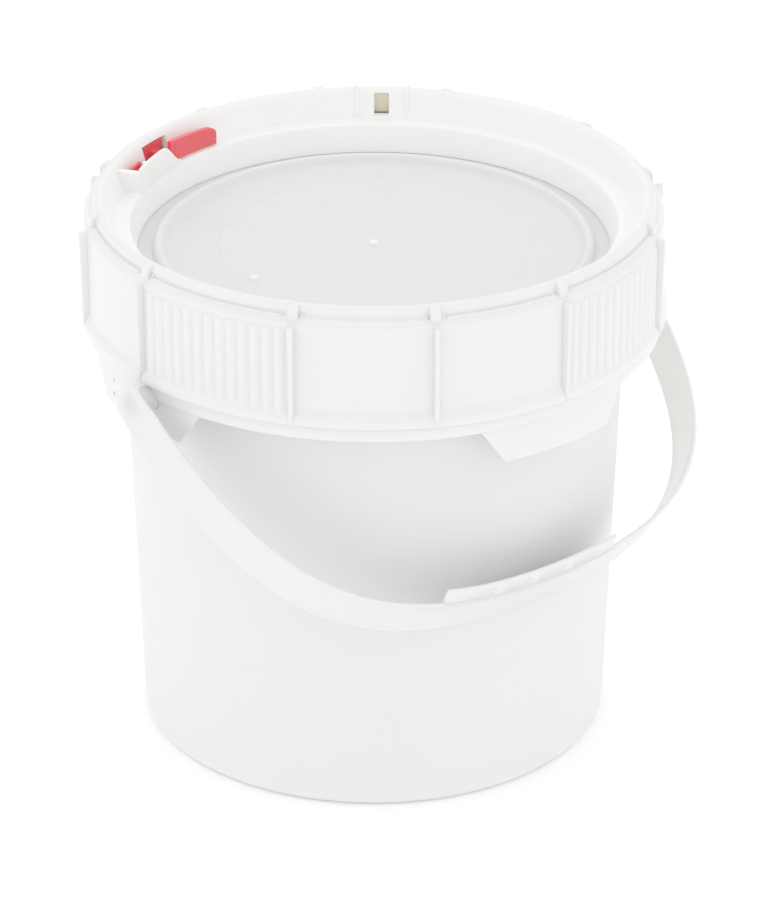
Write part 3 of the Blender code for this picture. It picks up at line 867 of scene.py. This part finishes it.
def make_latch(material):
    """The tab and its raised face, the lever, hub and tail, and the arm, plate and pawl."""
    return [
        make_tab(material),
        make_tab_face(material),
        make_lever(material),
        make_hub(material),
        latch_box("latch_tail", (2.0, 12.4, 6.6), place(142.1, LATCH_ANGLE + 2.8, 302.0), material, 0.4),
        latch_box("latch_arm", (11.0, 5.6, 5.0), place(144.4, PAWL_ANGLE, 300.4), material, 0.5),
        latch_box("latch_plate", (1.4, 18.8, 9.6), place(148.2, 106.9, 301.6), material, 0.4),
        make_pawl(material),
    ]


# ---------------------------------------------------------------- bail handle


def bail_point(x, reach, level):
    """A point of the handle at rest; reach runs away from the pivots and level across the strap."""
    turn = math.pi + BAIL_TILT
    y = reach * math.cos(turn) - level * math.sin(turn)
    z = reach * math.sin(turn) + level * math.cos(turn)
    return Vector((x, y, PIVOT_HEIGHT + z))


def bezier(p0, p1, p2, p3, t):
    u = 1.0 - t
    return p0 * u**3 + p1 * 3 * u * u * t + p2 * 3 * u * t * t + p3 * t**3


def bail_line():
    """The strap's centre line in (x, reach), from the left pivot to the right one."""
    start = Vector((-BAIL_HALF_SPAN, BAIL_STRAIGHT))
    rise = Vector((-BAIL_HALF_SPAN + 8.0, BAIL_STRAIGHT + 113.0))
    flat = Vector((-121.0, BAIL_REACH))
    middle = Vector((0.0, BAIL_REACH))
    end = -BAIL_END_LENGTH + 0.15
    left = [Vector((-BAIL_HALF_SPAN, end + (BAIL_STRAIGHT - end) * i / 14)) for i in range(14)]
    left += [bezier(start, rise, flat, middle, i / 60) for i in range(61)]
    right = [Vector((-point.x, point.y)) for point in reversed(left[:-1])]
    return left + right


def bail_half_width(reach):
    if reach < 0.0:
        return BAIL_END_HALF_WIDTH * (1.0 - min(-reach / BAIL_END_LENGTH, 1.0) ** 3) ** (1.0 / 3.0)
    widening = min(reach / 20.0, 1.0)
    eased = widening * widening * (3.0 - 2.0 * widening)
    return BAIL_END_HALF_WIDTH + (BAIL_HALF_WIDTH - BAIL_END_HALF_WIDTH) * eased


def strap_section(half):
    """(out, across) round the strap: a flat band with soft corners and slightly thicker edges."""
    thick = BAIL_THICKNESS / 2.0
    corner = min(0.9, half * 0.3)
    one_side = [
        (thick * 0.8, -half + corner * 1.6),
        (thick * 0.8, -half * 0.4),
        (thick * 0.8, half * 0.4),
        (thick * 0.8, half - corner * 1.6),
        (thick, half - corner),
        (thick * 0.6, half - corner * 0.2),
        (0.0, half),
    ]
    other = [(-out, across) for out, across in reversed(one_side[:-1])]
    edge = [(thick, -half + corner), (thick * 0.6, -half + corner * 0.2)]
    far_edge = [(-out, across) for out, across in edge]
    return one_side + other + far_edge + [(0.0, -half)] + list(reversed(edge))


def make_strap(material):
    line = bail_line()
    bm = bmesh.new()
    rows = []
    for i, point in enumerate(line):
        before, after = line[max(i - 1, 0)], line[min(i + 1, len(line) - 1)]
        along = (after - before).normalized()
        out = Vector((-along.y, along.x))
        half = max(bail_half_width(point.y), 0.9)
        corners = []
        for off, level in strap_section(half):
            corner = bail_point(point.x + out.x * off, point.y + out.y * off, level)
            corners.append(bm.verts.new(corner * MM))
        rows.append(corners)
    join_sections(bm, rows)
    return finish_mesh(bm, "strap_band", material, 60.0)


def strap_drop(x):
    """How far the centre line falls short of its full reach, near the strap's middle."""
    return 1.18e-3 * x**2 + 5.3e-8 * x**4


def pocket_depth(along, up):
    """The depth of the four shallow finger pockets at a place on the grip's lip."""
    nearest = min(abs(along - centre) for centre in (-36.0, -12.0, 12.0, 36.0))
    sideways = (8.6 - nearest) / 1.2
    upwards = min(up - 0.2, 0.8 - up) / 0.1
    return 1.1 * max(0.0, min(sideways, upwards, 1.0))


def make_grip(material):
    """The lip along the upper edge of the grip, with four shallow finger pockets in its face."""
    upper = -BAIL_HALF_WIDTH + 1.6
    columns, rows = 144, 20
    bm = bmesh.new()
    skins = []
    for side in (-1.0, 1.0):
        grid = []
        for row in range(rows + 1):
            up = row / rows
            line = []
            for column in range(columns + 1):
                along = (2.0 * column / columns - 1.0) * GRIP_HALF_LENGTH
                x = GRIP_CENTRE + along
                reach = BAIL_REACH - strap_drop(x) - 0.2 - 2.4 * up + side
                if side > 0.0:
                    reach -= pocket_depth(along, up)
                line.append(bm.verts.new(bail_point(x, reach, upper - 11.0 * up) * MM))
            grid.append(line)
        skins.append(grid)
    join_skins(bm, *skins)
    return rounded(finish_mesh(bm, "strap_grip_lip", material, SHARP_PLATE), 0.4, 2)


def make_pins(material):
    bm = bmesh.new()
    inner = BAIL_HALF_SPAN - 15.0
    outer = BAIL_HALF_SPAN + 0.4
    for side in (-1, 1):
        spot = Matrix.Translation((side * (inner + outer) / 2.0, 0.0, PIVOT_HEIGHT))
        add_rod(bm, 4.0, outer - inner, spot @ ALONG_X)
    return rounded(finish_mesh(bm, "strap_pins", material, SHARP_BOX), 0.4, 2)


# ---------------------------------------------------------------- stage


def make_floor():
    bm = bmesh.new()
    bmesh.ops.create_grid(bm, x_segments=1, y_segments=1, size=6.0)
    floor = finish_mesh(bm, "floor", pale_floor("pale_floor"))
    floor.location.z = -0.0005


def add_area_light(name, energy, size, position):
    light = bpy.data.lights.new(name, "AREA")
    light.energy = energy
    light.shape = "DISK"
    light.size = size
    item = bpy.data.objects.new(name, light)
    item.location = position
    item.rotation_mode = "QUATERNION"
    item.rotation_quaternion = (CAMERA_TARGET - item.location).to_track_quat("-Z", "Y")
    bpy.context.scene.collection.objects.link(item)


def view_direction(azimuth, elevation):
    a, e = math.radians(azimuth), math.radians(elevation)
    return Vector((math.sin(a) * math.cos(e), -math.cos(a) * math.cos(e), math.sin(e)))


def make_lights():
    world = bpy.data.worlds.new("studio")
    world.use_nodes = True
    background = world.node_tree.nodes["Background"]
    background.inputs["Color"].default_value = (1.0, 1.0, 1.0, 1.0)
    background.inputs["Strength"].default_value = 0.98
    bpy.context.scene.world = world
    add_area_light("front", 0.8, 1.6, view_direction(CAMERA_AZIMUTH, 18.0) * 2.3)
    add_area_light("left", 2.5, 1.6, view_direction(CAMERA_AZIMUTH - 75.0, 32.0) * 2.3)
    add_area_light("right", 2.0, 1.6, view_direction(CAMERA_AZIMUTH + 75.0, 32.0) * 2.3)
    add_area_light("back", 2.0, 1.4, view_direction(CAMERA_AZIMUTH + 180.0, 50.0) * 2.2)


def make_camera():
    data = bpy.data.cameras.new("camera")
    data.lens = CAMERA_LENS
    data.sensor_width = 36.0
    data.shift_x = CAMERA_SHIFT_X
    data.shift_y = CAMERA_SHIFT_Y
    data.clip_start = 0.1
    data.clip_end = 30.0
    camera = bpy.data.objects.new("camera", data)
    back = view_direction(CAMERA_AZIMUTH, CAMERA_ELEVATION)
    camera.location = CAMERA_TARGET + back * CAMERA_DISTANCE
    camera.rotation_mode = "QUATERNION"
    camera.rotation_quaternion = (-back).to_track_quat("-Z", "Y")
    bpy.context.scene.collection.objects.link(camera)
    bpy.context.scene.camera = camera


# ---------------------------------------------------------------- build


def put(pieces, body):
    for piece in pieces:
        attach(piece, body)


WHITE = moulded_plastic("white_plastic", (0.812, 0.815, 0.804), (0.802, 0.805, 0.794), 0.36, 0.25, 0.008)
# ring_plastic carries the painted glow: the ring's inner walls and threads, the latch pocket and the disc
# nubs glow faintly inside GLOW_RADIUS
RING_WHITE = moulded_plastic(
    "ring_plastic", (0.804, 0.810, 0.800), (0.794, 0.800, 0.791), 0.30, 0.15, 0.005, INNER_GLOW
)
DISC_WHITE = moulded_plastic("disc_plastic", (0.770, 0.776, 0.764), (0.760, 0.766, 0.754), 0.38, 0.3)
STRAP_WHITE = moulded_plastic("handle_plastic", (0.756, 0.763, 0.751), (0.746, 0.753, 0.741), 0.32, 0.5)
CORAL = moulded_plastic("latch_plastic", (0.86, 0.085, 0.10), (0.83, 0.075, 0.09), 0.3, 0.15, 0.002)
# Painted shade: the warm colour of the sheet that stands in for the shaded hollow behind the key window
SLOT_PAINTED_SHADE = moulded_plastic("slot_painted_shade", (0.84, 0.76, 0.54), (0.82, 0.74, 0.52), 0.5, 0.2)
RUBBER = soft_rubber("gasket_rubber", (0.30, 0.31, 0.32), (0.26, 0.27, 0.28))

shell = make_pail_shell(WHITE)
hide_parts("pail_body")
skirts = [make_skirt(number, centre, WHITE) for number, centre in enumerate(SKIRT_CENTRES)]
put([shell, make_threads(WHITE), make_teeth(WHITE)] + skirts + make_ears(WHITE), "pail")

ring_shell = make_ring_shell(RING_WHITE)
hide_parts("screw_ring")
ring_pieces = [
    ring_shell,
    make_fins(RING_WHITE),
    make_lip_blocks(RING_WHITE),
    make_shoulder_beads(RING_WHITE),
    make_slot_ribs(RING_WHITE),
    make_slot_shade_sheet(SLOT_PAINTED_SHADE),
    make_ring_threads(RING_WHITE),
]
put(ring_pieces + make_latch_pocket(RING_WHITE), "ring")

disc = make_disc(DISC_WHITE)
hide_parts("lid_disc")
# The disc nubs take ring_plastic, brighter than the disc's and glowing: a painted highlight that shows them
# as bright dots
put([disc, make_disc_nubs(RING_WHITE)], "lid")

gasket = make_gasket(RUBBER)
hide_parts("lid_gasket")
put([gasket], "lid")

latch = make_latch(CORAL)
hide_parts("child_latch")
put(latch, "latch")

strap = make_strap(STRAP_WHITE)
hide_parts("bail_handle")
put([strap, make_grip(STRAP_WHITE), make_pins(STRAP_WHITE)], "bail")

make_floor()
make_lights()
make_camera()
bpy.context.scene.view_settings.view_transform = "Standard"
bpy.context.scene.view_settings.gamma = VIEW_GAMMA
